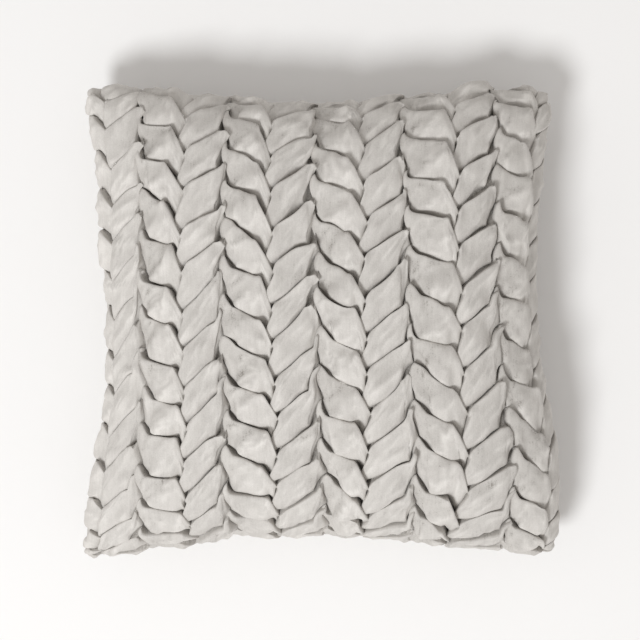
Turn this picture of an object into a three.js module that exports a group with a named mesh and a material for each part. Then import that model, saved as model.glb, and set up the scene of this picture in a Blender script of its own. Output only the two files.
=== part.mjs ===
// Pleated cushion, in millimetres, +Z up. It lies on its back on Z = 0, centred on the Z axis, with +Y towards its
// top edge. The front is one cut of velvet, gathered into a lattice of overlapping leaf shaped folds and filled.
// The back is a plain panel of the same velvet.
import * as THREE from "three";

// Overall form
const SEAM_HEIGHT = 48; // the seam between front and back stands this far above the surface below
const CROWN = 97; // from the seam up to the middle of the face, leaves not counted
const SHOULDER_POWER = 3.2; // how far out the face stays full before it turns down
const SHOULDER_SHARE = 0.45;
const CORNER_ROUNDING = 0.02; // share of the half size that a corner is drawn in
const CORNER_POWER = 10; // how close to the corner that rounding stays
const HALF_SIZE = 210; // of the seam's outline, taken for the cloth's length over the crown
const RIGHT_ANGLE = Math.PI / 2;

// The seam's outline: half widths and half heights from the middle, drawn in between the corners
const SIDE_SECTIONS = [
  { at: 216, low: 224, high: 220 },
  { at: 152, low: 211, high: 211 },
  { at: 60, low: 204, high: 203 },
  { at: -30, low: 201, high: 206 },
  { at: -80, low: 202, high: 215 },
  { at: -130, low: 212, high: 225 },
  { at: -216, low: 225, high: 224 },
];
const END_SECTIONS = [
  { at: 216, low: 222, high: 219 },
  { at: 150, low: 214, high: 215 },
  { at: 80, low: 206, high: 209 },
  { at: 0, low: 202, high: 204 },
  { at: -60, low: 201, high: 206 },
  { at: -130, low: 210, high: 214 },
  { at: -216, low: 225, high: 223 },
];

// The stitched lines that run down the face, each at its distance along the cloth from the middle, at the top, the
// middle and the foot. Folds dip to a point on a valley line and rise to one on a peak line. The lift moves a
// line's stitches up the face.
const FOLD_LINES = [
  { kind: "peak", top: -258, middle: -258, foot: -258, liftTop: -20, liftMiddle: -20, liftFoot: -16 },
  { kind: "valley", top: -202, middle: -211, foot: -205, liftTop: -17, liftMiddle: -13, liftFoot: -5 },
  { kind: "peak", top: -160, middle: -174, foot: -158, liftTop: -14, liftMiddle: -16, liftFoot: -13 },
  { kind: "valley", top: -120, middle: -132, foot: -114, liftTop: -2, liftMiddle: -8, liftFoot: -5 },
  { kind: "peak", top: -83, middle: -91, foot: -78, liftTop: -3, liftMiddle: -4, liftFoot: -5 },
  { kind: "valley", top: -43, middle: -43, foot: -36, liftTop: -5, liftMiddle: -4, liftFoot: 0 },
  { kind: "peak", top: -4, middle: 0, foot: 6, liftTop: -4, liftMiddle: 0, liftFoot: 1 },
  { kind: "valley", top: 40, middle: 44, foot: 41, liftTop: 1, liftMiddle: 3, liftFoot: 3 },
  { kind: "peak", top: 77, middle: 86, foot: 82, liftTop: 3, liftMiddle: 2, liftFoot: 5 },
  { kind: "valley", top: 121, middle: 135, foot: 121, liftTop: 5, liftMiddle: 9, liftFoot: 2 },
  { kind: "peak", top: 163, middle: 176, foot: 167, liftTop: 5, liftMiddle: 1, liftFoot: 0 },
  { kind: "valley", top: 213, middle: 216, foot: 217, liftTop: 9, liftMiddle: 24, liftFoot: 24 },
  { kind: "peak", top: 258, middle: 258, foot: 258, liftTop: 20, liftMiddle: 24, liftFoot: 24 },
];
const LINE_REACH = 200; // the distance along the cloth at which the top and foot values hold
const LINE_OVERRUN = 1.15; // how many times that reach a line's bend goes on for

// The folds between the stitched lines, measured along the cloth
const FOLD_COUNT = 15; // crevices, from the one by the top seam to the one by the bottom seam
const FOLD_PITCH = 35.9;
const FIRST_VALLEY = 231.3;
const FOLD_RISE = 50; // from a crevice's stitch on a valley line up to the one on a peak line
const SIDE_RISE = 32; // the same in the outermost columns, which end in the seam
const SQUEEZE_FROM = 215; // beyond this distance the folds crowd together towards the seam
const WANDER = 1.6; // how far a stitch strays from the lattice

// A crevice's way from its valley stitch to its peak stitch: share of the column's width, share of the rise.
// A column whose valley is on its left leans like a slash, and one whose valley is on its right like a backslash.
const SLASH_WAY = [
  { across: 0, up: 0 },
  { across: 0.15, up: 0.18 },
  { across: 0.5, up: 0.34 },
  { across: 0.82, up: 0.52 },
  { across: 1, up: 1 },
];
const BACKSLASH_WAY = [
  { across: 0, up: 0 },
  { across: 0.2, up: 0.5 },
  { across: 0.48, up: 0.62 },
  { across: 0.8, up: 0.78 },
  { across: 1, up: 1 },
];

// A leaf's section, from the crevice below it to its crisp upper edge: share of the leaf, height over the crown
const LEAF_SECTION = [
  { share: 0, height: -8.5 },
  { share: 0.14, height: -1.5 },
  { share: 0.5, height: 1.5 },
  { share: 0.92, height: 3.2 },
];
const STITCH_DIP = 5; // how far the stitched lines pull a leaf's ends down
const DIP_REACH = 0.16; // share of a column's width that the dip takes at each end
const STITCH_FLATTENING = 0.4; // share of its height that a leaf loses where it is stitched
const SEAM_FADE = 0.13; // angle from the seam, in radians, over which the relief dies out
const FLAP = { column: 9, fold: 0, proud: 7 }; // the one leaf that stands up over the top edge

// The underside and the back panel
const PANEL_THICKNESS = 1.6;
const PANEL_GAP = 0.3;
const CONTACT_SHARE = 0.64; // the flat patch that the cushion lies on, as a share of the outline
const LOOP_POINTS_PER_SIDE = 24;
const UNDERSIDE_ANGLES = [84, 67, 45, 22, 0]; // round the underside, from close to the seam to the flat patch

const VELVET = new THREE.MeshStandardMaterial({ color: 0xbfbbb6, roughness: 0.85, metalness: 0 });
const PLAIN_VELVET = new THREE.MeshStandardMaterial({ color: 0xbab6b0, roughness: 0.88, metalness: 0 });

// A repeatable stray number from -1 to 1 for a pair of counts.
function stray(first, second) {
  const wave = Math.sin(first * 12.9898 + second * 78.233) * 43758.5453;
  return 2 * (wave - Math.floor(wave)) - 1;
}

function smooth(low, high, value) {
  const share = Math.min(1, Math.max(0, (value - low) / (high - low)));
  return share * share * (3 - 2 * share);
}

// A smooth curve through a table's rows, read at a place along it.
function readTable(rows, column, place) {
  const sorted = [...rows].sort((a, b) => a.at - b.at);
  const inside = Math.min(sorted[sorted.length - 1].at, Math.max(sorted[0].at, place));
  const next = Math.max(1, sorted.findIndex((row) => row.at >= inside));
  const slope = (index) => {
    const before = sorted[Math.max(0, index - 1)];
    const after = sorted[Math.min(sorted.length - 1, index + 1)];
    return (after[column] - before[column]) / (after.at - before.at);
  };
  const from = sorted[next - 1];
  const to = sorted[next];
  const span = to.at - from.at;
  const t = (inside - from.at) / span;
  const start = (1 + 2 * t) * (1 - t) ** 2 * from[column] + t * (1 - t) ** 2 * span * slope(next - 1);
  return start + t * t * (3 - 2 * t) * to[column] + t * t * (t - 1) * span * slope(next);
}

function halfWidth(y, side) {
  return readTable(SIDE_SECTIONS, side < 0 ? "low" : "high", y);
}

function halfHeight(x, end) {
  return readTable(END_SECTIONS, end < 0 ? "low" : "high", x);
}

// The share of the crown's height at a share of the way from the middle to the seam.
function fullness(share) {
  return Math.max(0, 1 - Math.abs(share) ** SHOULDER_POWER) ** SHOULDER_SHARE;
}

// Distances along the cloth over the crown, from the middle to the seam, by even steps of angle.
const CLOTH_STEPS = 90;
const CLOTH_LENGTHS = [0];
for (let step = 1; step <= CLOTH_STEPS; step += 1) {
  const [before, after] = [step - 1, step].map((n) => Math.sin((n / CLOTH_STEPS) * RIGHT_ANGLE));
  const run = HALF_SIZE * (after - before);
  const fall = CROWN * (fullness(before) - fullness(after));
  CLOTH_LENGTHS.push(CLOTH_LENGTHS[step - 1] + Math.hypot(run, fall));
}
const CLOTH_HALF = CLOTH_LENGTHS[CLOTH_STEPS];

// The angle at a distance along the cloth: 0 in the middle of the face, a right angle at the seam.
function angleAt(distance) {
  const length = Math.min(Math.abs(distance), CLOTH_HALF);
  const step = Math.max(1, CLOTH_LENGTHS.findIndex((reach) => reach >= length));
  const before = CLOTH_LENGTHS[step - 1];
  const part = (length - before) / (CLOTH_LENGTHS[step] - before);
  return (Math.sign(distance) * RIGHT_ANGLE * (step - 1 + part)) / CLOTH_STEPS;
}

// A point on the crown without its folds, from its two angles.
function crownPoint(acrossAngle, upAngle) {
  const across = Math.sin(acrossAngle);
  const up = Math.sin(upAngle);
  const drawn = 1 - CORNER_ROUNDING * Math.abs(across * up) ** CORNER_POWER;
  let [x, y] = [across * HALF_SIZE, up * HALF_SIZE];
  for (let round = 0; round < 3; round += 1) {
    [x, y] = [across * halfWidth(y, across) * drawn, up * halfHeight(x, up) * drawn];
  }
  return new THREE.Vector3(x, y, SEAM_HEIGHT + CROWN * fullness(across) * fullness(up));
}

function crownNormal(acrossAngle, upAngle) {
  const step = 0.01;
  const inside = (angle) => Math.min(RIGHT_ANGLE - step, Math.max(step - RIGHT_ANGLE, angle));
  const [a, u] = [inside(acrossAngle), inside(upAngle)];
  const acrossway = crownPoint(a + step, u).sub(crownPoint(a - step, u));
  const upway = crownPoint(a, u + step).sub(crownPoint(a, u - step));
  return acrossway.cross(upway).normalize();
}

// A line's value at a height on the face, from its values at the top, the middle and the foot.
function alongLine(top, middle, foot, height) {
  const t = Math.max(-LINE_OVERRUN, Math.min(LINE_OVERRUN, height / LINE_REACH));
  return middle + (t * (top - foot)) / 2 + t * t * ((top + foot) / 2 - middle);
}

// Folds crowd together near the seam, and none passes it.
function squeeze(distance) {
  const reach = Math.abs(distance);
  if (reach <= SQUEEZE_FROM) return distance;
  const room = CLOTH_HALF - SQUEEZE_FROM;
  return Math.sign(distance) * (SQUEEZE_FROM + room * (1 - Math.exp(-(reach - SQUEEZE_FROM) / room)));
}

// Where crevice `fold` is stitched to a line: its two angles.
function stitch(line, fold) {
  const { kind, top, middle, foot, liftTop, liftMiddle, liftFoot } = FOLD_LINES[line];
  const outermost = line === 0 || line === FOLD_LINES.length - 1;
  const rise = kind === "peak" ? (outermost ? SIDE_RISE : FOLD_RISE) : 0;
  const level = FIRST_VALLEY - fold * FOLD_PITCH + rise;
  const lifted = level + alongLine(liftTop, liftMiddle, liftFoot, level) + WANDER * stray(line, fold);
  const up = angleAt(squeeze(lifted));
  const sideways = outermost ? 0 : WANDER * stray(fold, line + FOLD_LINES.length);
  const across = angleAt(alongLine(top, middle, foot, lifted) + sideways);
  return { across: outermost ? Math.sign(top) * RIGHT_ANGLE : across, up };
}

// The grid's stations over a column: its line, then the way's points, all running from left to right.
function columnStations(column) {
  const slash = FOLD_LINES[column].kind === "valley";
  const way = slash ? SLASH_WAY : [...BACKSLASH_WAY].reverse();
  return way.slice(0, -1).map(({ across, up }) => ({
    column,
    fromLeft: slash ? across : 1 - across,
    toPeak: up,
    dip: 1 - smooth(0, DIP_REACH, Math.min(across, 1 - across)),
  }));
}

const LAST_LINE = FOLD_LINES.length - 1;
const STATIONS = FOLD_LINES.slice(0, -1).flatMap((_, column) => columnStations(column));
STATIONS.push({ column: LAST_LINE - 1, fromLeft: 1, toPeak: 1, dip: 1 });

// The angles of crevice `fold` at a station.
function crevicePoint(station, fold) {
  const left = stitch(station.column, fold);
  const right = stitch(station.column + 1, fold);
  const slash = FOLD_LINES[station.column].kind === "valley";
  const [valley, peak] = slash ? [left, right] : [right, left];
  return {
    across: left.across + (right.across - left.across) * station.fromLeft,
    up: valley.up + (peak.up - valley.up) * station.toPeak,
  };
}

// One row of the grid: the crown's points at a share of the leaf between two crevices, raised by the leaf's section.
function foldRow(lower, upper, share, height) {
  return STATIONS.map((station, index) => {
    const across = lower[index].across + (upper[index].across - lower[index].across) * share;
    const up = lower[index].up + (upper[index].up - lower[index].up) * share;
    const toSeam = RIGHT_ANGLE - Math.max(Math.abs(across), Math.abs(up));
    const body = height < 0 ? 1 : 1 - STITCH_FLATTENING * station.dip;
    const flap = FLAP.column === station.column && upper.fold < FLAP.fold ? FLAP.proud * (1 - station.dip) : 0;
    const raised = (height * body - STITCH_DIP * station.dip + flap) * smooth(0, SEAM_FADE, toSeam);
    return crownPoint(across, up).addScaledVector(crownNormal(across, up), raised);
  });
}

function seamCurve(end, fold) {
  const curve = STATIONS.map((station) => ({ ...crevicePoint(station, FOLD_COUNT / 2), up: end * RIGHT_ANGLE }));
  return Object.assign(curve, { fold });
}

// Every crevice from the bottom seam to the top one, with the seams as the first and the last.
function creviceCurves() {
  const curves = [seamCurve(-1, FOLD_COUNT)];
  for (let fold = FOLD_COUNT - 1; fold >= 0; fold -= 1) {
    curves.push(Object.assign(STATIONS.map((station) => crevicePoint(station, fold)), { fold }));
  }
  return [...curves, seamCurve(1, -1)];
}

// The grid of points over the smocked face, from the bottom seam to the top one.
function smockedGrid() {
  const curves = creviceCurves();
  const rows = [];
  for (let band = 0; band < curves.length - 1; band += 1) {
    for (const { share, height } of LEAF_SECTION) {
      rows.push(foldRow(curves[band], curves[band + 1], share, height));
    }
  }
  rows.push(foldRow(curves.at(-1), curves.at(-1), 0, 0));
  return rows;
}

// A closed body under construction: its points and its triangles, facing out.
class Body {
  constructor() {
    this.points = [];
    this.triangles = [];
  }

  addPoints(points) {
    const first = this.points.length;
    this.points.push(...points);
    return points.map((_, index) => first + index);
  }

  // A strip between two closed loops of indices that run the same way round, whatever their counts.
  zip(outer, inner, flipped = false) {
    let [a, b] = [0, 0];
    while (a < outer.length || b < inner.length) {
      const outerNext = (a + 1) / outer.length;
      const innerNext = (b + 1) / inner.length;
      const stepOuter = b >= inner.length || (a < outer.length && outerNext <= innerNext);
      const [o, i] = [outer[a % outer.length], inner[b % inner.length]];
      const next = stepOuter ? outer[(a + 1) % outer.length] : inner[(b + 1) % inner.length];
      this.triangles.push(flipped ? [o, i, next] : [o, next, i]);
      if (stepOuter) a += 1;
      else b += 1;
    }
  }

  // A cap over a closed loop, as a fan round its middle.
  cap(loop, flipped = false) {
    const middle = new THREE.Vector3();
    loop.forEach((index) => middle.addScaledVector(this.points[index], 1 / loop.length));
    const [hub] = this.addPoints([middle]);
    loop.forEach((index, place) => {
      const next = loop[(place + 1) % loop.length];
      this.triangles.push(flipped ? [next, index, hub] : [index, next, hub]);
    });
  }

  mesh(name, material) {
    const geometry = new THREE.BufferGeometry();
    const numbers = this.points.flatMap((point) => point.toArray());
    geometry.setAttribute("position", new THREE.Float32BufferAttribute(numbers, 3));
    geometry.setIndex(this.triangles.flat());
    geometry.computeVertexNormals();
    const mesh = new THREE.Mesh(geometry, material);
    mesh.name = name;
    return mesh;
  }
}

// The seam as a closed loop of points, anticlockwise seen from above, from the corner at lower left.
function seamLoop() {
  const loop = [];
  for (let side = 0; side < 4; side += 1) {
    for (let point = 0; point < LOOP_POINTS_PER_SIDE; point += 1) {
      const along = (2 * point) / LOOP_POINTS_PER_SIDE - 1;
      const angle = Math.asin(along);
      const [across, up] = [
        [angle, -RIGHT_ANGLE],
        [RIGHT_ANGLE, angle],
        [-angle, RIGHT_ANGLE],
        [-RIGHT_ANGLE, -angle],
      ][side];
      loop.push(crownPoint(across, up));
    }
  }
  return loop;
}

// A loop round the underside at an angle from the flat patch (0) to the seam (90), moved out from its surface.
function undersideLoop(degrees, outward) {
  const angle = THREE.MathUtils.degToRad(degrees);
  const floor = PANEL_THICKNESS + PANEL_GAP;
  return seamLoop().map((seam) => {
    const patch = new THREE.Vector3(seam.x * CONTACT_SHARE, seam.y * CONTACT_SHARE, 0);
    const flat = new THREE.Vector3(seam.x, seam.y, 0).sub(patch);
    const away = flat.clone().normalize();
    const normal = away.multiplyScalar((SEAM_HEIGHT - floor) * Math.sin(angle));
    normal.z = -flat.length() * Math.cos(angle);
    const point = patch.addScaledVector(flat, Math.sin(angle));
    point.z = floor + (SEAM_HEIGHT - floor) * (1 - Math.cos(angle));
    return point.addScaledVector(normal.normalize(), outward);
  });
}

function buildSmockedCushion() {
  const body = new Body();
  const rows = smockedGrid();
  const indexed = rows.map((row) => body.addPoints(row));
  for (let row = 0; row < rows.length - 1; row += 1) {
    for (let column = 0; column < STATIONS.length - 1; column += 1) {
      const [a, b] = [indexed[row][column], indexed[row][column + 1]];
      const [d, c] = [indexed[row + 1][column], indexed[row + 1][column + 1]];
      body.triangles.push([a, b, c], [a, c, d]);
    }
  }
  const bottom = indexed[0].slice(0, -1);
  const right = indexed.map((row) => row.at(-1)).slice(0, -1);
  const top = [...indexed.at(-1)].reverse().slice(0, -1);
  const left = indexed.map((row) => row[0]).reverse().slice(0, -1);
  let loop = [...bottom, ...right, ...top, ...left];
  for (const degrees of UNDERSIDE_ANGLES) {
    const inner = body.addPoints(undersideLoop(degrees, 0));
    body.zip(loop, inner, true);
    loop = inner;
  }
  body.cap(loop, true);
  return body.mesh("smocked_cushion", VELVET);
}

function buildBackPanel() {
  const body = new Body();
  const faces = [PANEL_GAP, PANEL_GAP + PANEL_THICKNESS].map((outward) => {
    return UNDERSIDE_ANGLES.map((degrees) => body.addPoints(undersideLoop(degrees, outward)));
  });
  faces.forEach((loops, face) => {
    for (let ring = 0; ring < loops.length - 1; ring += 1) {
      body.zip(loops[ring], loops[ring + 1], face === 1);
    }
    body.cap(loops.at(-1), face === 1);
  });
  body.zip(faces[1][0], faces[0][0]);
  return body.mesh("back_panel", PLAIN_VELVET);
}

const cushion = new THREE.Group();
cushion.name = "pleated_cushion";
cushion.add(buildSmockedCushion(), buildBackPanel());

export default cushion;
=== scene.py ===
"""A pleated velvet cushion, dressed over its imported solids. Metres, +Z up, +Y towards its top edge."""
import logging
import math
from dataclasses import dataclass, field
from enum import Enum
from typing import Sequence

import bmesh
import bpy
import numpy as np
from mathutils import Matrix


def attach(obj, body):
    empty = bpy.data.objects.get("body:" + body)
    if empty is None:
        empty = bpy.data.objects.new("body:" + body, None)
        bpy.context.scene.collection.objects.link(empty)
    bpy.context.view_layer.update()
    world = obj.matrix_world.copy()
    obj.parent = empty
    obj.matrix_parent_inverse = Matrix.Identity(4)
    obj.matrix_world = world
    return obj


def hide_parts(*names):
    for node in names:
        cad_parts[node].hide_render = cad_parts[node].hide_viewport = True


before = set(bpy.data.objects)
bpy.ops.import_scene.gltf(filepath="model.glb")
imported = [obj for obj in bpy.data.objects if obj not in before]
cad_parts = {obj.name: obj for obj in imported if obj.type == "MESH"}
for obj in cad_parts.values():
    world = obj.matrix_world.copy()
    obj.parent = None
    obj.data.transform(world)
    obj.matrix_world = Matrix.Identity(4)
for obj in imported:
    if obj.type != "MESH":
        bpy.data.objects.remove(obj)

LOG = logging.getLogger("pleated_cushion")
MM = 0.001
TINY = 1e-9
RIGHT_ANGLE = math.pi / 2
STRAY_STEPS = (12.9898, 78.233)
NOISE_STEPS = (127.1, 311.7, 74.7)
CELL_STEPS = (1.37, 7.91)
STRAY_SCALE = 43758.5453  # large, so that the last digits of a sine look random


def stray(first: float | np.ndarray, second: float | np.ndarray) -> float | np.ndarray:
    """Gives a repeatable stray number for a pair of counts.

    Args:
        first: The first count.
        second: The second count.

    Returns:
        A number from -1 to 1.
    """
    wave = np.sin(first * STRAY_STEPS[0] + second * STRAY_STEPS[1]) * STRAY_SCALE
    return 2 * (wave - np.floor(wave)) - 1


def ease(low: float, high: float, value: float | np.ndarray) -> np.ndarray:
    """Rises smoothly from 0 to 1 while a value goes from low to high.

    Args:
        low: Where the rise starts.
        high: Where it ends.
        value: The values to read.

    Returns:
        The share for each value.
    """
    share = np.clip((np.asarray(value, float) - low) / (high - low), 0, 1)
    return share * share * (3 - 2 * share)


def noise(places: np.ndarray) -> np.ndarray:
    """Reads smooth random noise of about one wave to a unit.

    Args:
        places: The places, one in each row.

    Returns:
        A number from about -1 to 1 for each.
    """
    cell = np.floor(places)
    share = places - cell
    blend = share * share * (3 - 2 * share)
    total = np.zeros(len(places))
    for corner in np.ndindex(2, 2, 2):
        offset = np.array(corner)
        wave = np.sin((cell + offset) @ np.array(NOISE_STEPS)) * STRAY_SCALE
        value = 2 * (wave - np.floor(wave)) - 1
        weight = np.prod(np.where(offset == 1, blend, 1 - blend), axis=1)
        total += value * weight
    return total


def curve_through(places: Sequence[float], values: Sequence[float], at: np.ndarray) -> np.ndarray:
    """Reads a smooth curve through a table's rows.

    Args:
        places: The rows' places, rising.
        values: The curve's value at each of them.
        at: Where to read the curve.

    Returns:
        The curve's values there.
    """
    x, y = np.asarray(places, float), np.asarray(values, float)
    last = len(x) - 1
    before, after = np.maximum(np.arange(len(x)) - 1, 0), np.minimum(np.arange(len(x)) + 1, last)
    slopes = (y[after] - y[before]) / (x[after] - x[before])
    inside = np.clip(at, x[0], x[-1])
    upper = np.clip(np.searchsorted(x, inside), 1, last)
    lower = upper - 1
    span = x[upper] - x[lower]
    t = (inside - x[lower]) / span
    start = (1 + 2 * t) * (1 - t) ** 2 * y[lower] + t * (1 - t) ** 2 * span * slopes[lower]
    return start + t * t * (3 - 2 * t) * y[upper] + t * t * (t - 1) * span * slopes[upper]


def mixed(rows: Sequence[object], low: str, high: str, share: float) -> np.ndarray:
    """Blends two of a table's columns.

    Args:
        rows: The table's rows.
        low: The name of the column that counts at share 0.
        high: The name of the column that counts at share 1.
        share: The share.

    Returns:
        The blend for each row.
    """
    return np.array([share * getattr(row, high) + (1 - share) * getattr(row, low) for row in rows])


def join_rings(mesh: bmesh.types.BMesh, rings: Sequence[Sequence[bmesh.types.BMVert]], height: float) -> None:
    """Joins rings of points with faces, each to the next, and the last to a point in the middle.

    Args:
        mesh: The mesh to add to.
        rings: The rings, from the outermost.
        height: The middle point's height, in metres.
    """
    for outer, inner in zip(rings, rings[1:]):
        for place in range(len(outer)):
            after = (place + 1) % len(outer)
            mesh.faces.new((outer[place], inner[place], inner[after], outer[after]))
    centre = mesh.verts.new((0, 0, height))
    for place in range(len(rings[-1])):
        mesh.faces.new((rings[-1][place], centre, rings[-1][(place + 1) % len(rings[-1])]))


def as_piece(mesh: bmesh.types.BMesh, name: str) -> bpy.types.Object:
    """Makes a smooth shaded piece of a mesh and puts it in the scene.

    Args:
        mesh: The mesh, which is used up.
        name: The piece's name.

    Returns:
        The piece.
    """
    data = bpy.data.meshes.new(name)
    mesh.to_mesh(data)
    mesh.free()
    piece = bpy.data.objects.new(name, data)
    bpy.context.scene.collection.objects.link(piece)
    data.shade_smooth()
    return piece


class Stray(Enum):
    """What strays from leaf to leaf, with the factors that keep one kind of draw apart from the others."""

    ARCH = (3.1, 1.7)
    CORNER_UP = (1.3, 2.7)
    CORNER_ACROSS = (2.1, 3.3)
    TIP = (5.3, 2.9)
    WIDTH = (2.3, 4.1)
    STEEP_WIDTH = (1.1, 3.9)
    HEALED = (1.9, 3.7)
    LEVEL = (7.7, 1.3)
    SLANT = (6.1, 5.9)
    RIDGE = (4.7, 6.3)
    RIDGE_PLACE = (8.3, 3.1)
    NAP = (3.9, 2.3)

    def of(self, first: int, second: int, third: int = 0) -> float:
        """Draws it for a leaf, or for one corner of it, by their numbers."""
        return stray(first * self.value[0] + third, second * self.value[1])


class FoldKind(Enum):
    """Which way the folds turn on a stitched line: dipping to a valley or rising to a peak."""

    VALLEY = "valley"
    PEAK = "peak"


@dataclass(frozen=True)
class FoldLine:
    """A stitched line: how far along the cloth it is from the middle, and its stitches' lift, in mm."""

    kind: FoldKind
    top: float
    middle: float
    foot: float
    lift_top: float
    lift_middle: float
    lift_foot: float


@dataclass(frozen=True)
class Section:
    """The outline's reach from the middle, in mm, at a place along it."""

    at: float
    low: float
    high: float


@dataclass
class Crown:
    """The filled front without its folds, in mm. A place is two angles, 0 in the middle, 90 at the seam."""

    seam_height: float = 48.0
    height: float = 97.0
    shoulder_power: float = 3.2
    shoulder_share: float = 0.45
    corner_rounding: float = 0.02
    corner_power: float = 10.0
    half_size: float = 210.0
    steps: int = 90
    normal_step: float = 0.01
    outline_rounds: int = 3
    sides: tuple[Section, ...] = (
        Section(-216, 225, 224),
        Section(-130, 212, 225),
        Section(-80, 202, 215),
        Section(-30, 201, 206),
        Section(60, 204, 203),
        Section(152, 211, 211),
        Section(216, 224, 220),
    )
    ends: tuple[Section, ...] = (
        Section(-216, 225, 223),
        Section(-130, 210, 214),
        Section(-60, 201, 206),
        Section(0, 202, 204),
        Section(80, 206, 209),
        Section(150, 214, 215),
        Section(216, 222, 219),
    )
    lengths: np.ndarray = field(init=False)

    def __post_init__(self) -> None:
        """Measures the cloth from the middle to the seam, by even steps of angle."""
        share = np.sin(np.linspace(0, RIGHT_ANGLE, self.steps + 1))
        run = self.half_size * np.diff(share)
        fall = self.height * np.diff(self.fullness(share))
        self.lengths = np.concatenate([[0], np.cumsum(np.hypot(run, fall))])

    @property
    def half_cloth(self) -> float:
        """The cloth's length from the middle of the face to the seam."""
        return float(self.lengths[-1])

    def fullness(self, share: np.ndarray) -> np.ndarray:
        """Gives the share of the crown's height at a share of the way to the seam."""
        return np.maximum(0, 1 - np.abs(share) ** self.shoulder_power) ** self.shoulder_share

    def reach(self, sections: Sequence[Section], place: np.ndarray, side: np.ndarray) -> np.ndarray:
        """Reads the outline's reach.

        Args:
            sections: The outline's table.
            place: The places along it.
            side: Negative for the low side, positive for the high one.

        Returns:
            The reach at each place, in mm.
        """
        places = [section.at for section in sections]
        low = curve_through(places, [section.low for section in sections], place)
        high = curve_through(places, [section.high for section in sections], place)
        return np.where(np.asarray(side) < 0, low, high)

    def angle_at(self, distance: np.ndarray) -> np.ndarray:
        """Turns a distance along the cloth into an angle."""
        steps = np.interp(np.abs(distance), self.lengths, np.arange(self.steps + 1))
        return np.sign(distance) * RIGHT_ANGLE * steps / self.steps

    def point(self, across: np.ndarray, up: np.ndarray) -> np.ndarray:
        """Finds points of the crown.

        Args:
            across: Their angles across the face.
            up: Their angles up the face.

        Returns:
            The points, one in each row.
        """
        a, u = np.sin(across), np.sin(up)
        drawn = 1 - self.corner_rounding * np.abs(a * u) ** self.corner_power
        x, y = a * self.half_size, u * self.half_size
        for _ in range(self.outline_rounds):
            width, height = self.reach(self.sides, y, a), self.reach(self.ends, x, u)
            x, y = a * width * drawn, u * height * drawn
        z = self.seam_height + self.height * self.fullness(a) * self.fullness(u)
        return np.stack([x, y, z], axis=-1)

    def normal(self, across: np.ndarray, up: np.ndarray) -> np.ndarray:
        """Finds the outward direction at points of the crown.

        Args:
            across: Their angles across the face.
            up: Their angles up the face.

        Returns:
            The unit directions, one in each row.
        """
        step = self.normal_step
        a = np.clip(across, step - RIGHT_ANGLE, RIGHT_ANGLE - step)
        u = np.clip(up, step - RIGHT_ANGLE, RIGHT_ANGLE - step)
        across_way = self.point(a + step, u) - self.point(a - step, u)
        up_way = self.point(a, u + step) - self.point(a, u - step)
        out = np.cross(across_way, up_way)
        return out / np.linalg.norm(out, axis=-1, keepdims=True)


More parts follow.
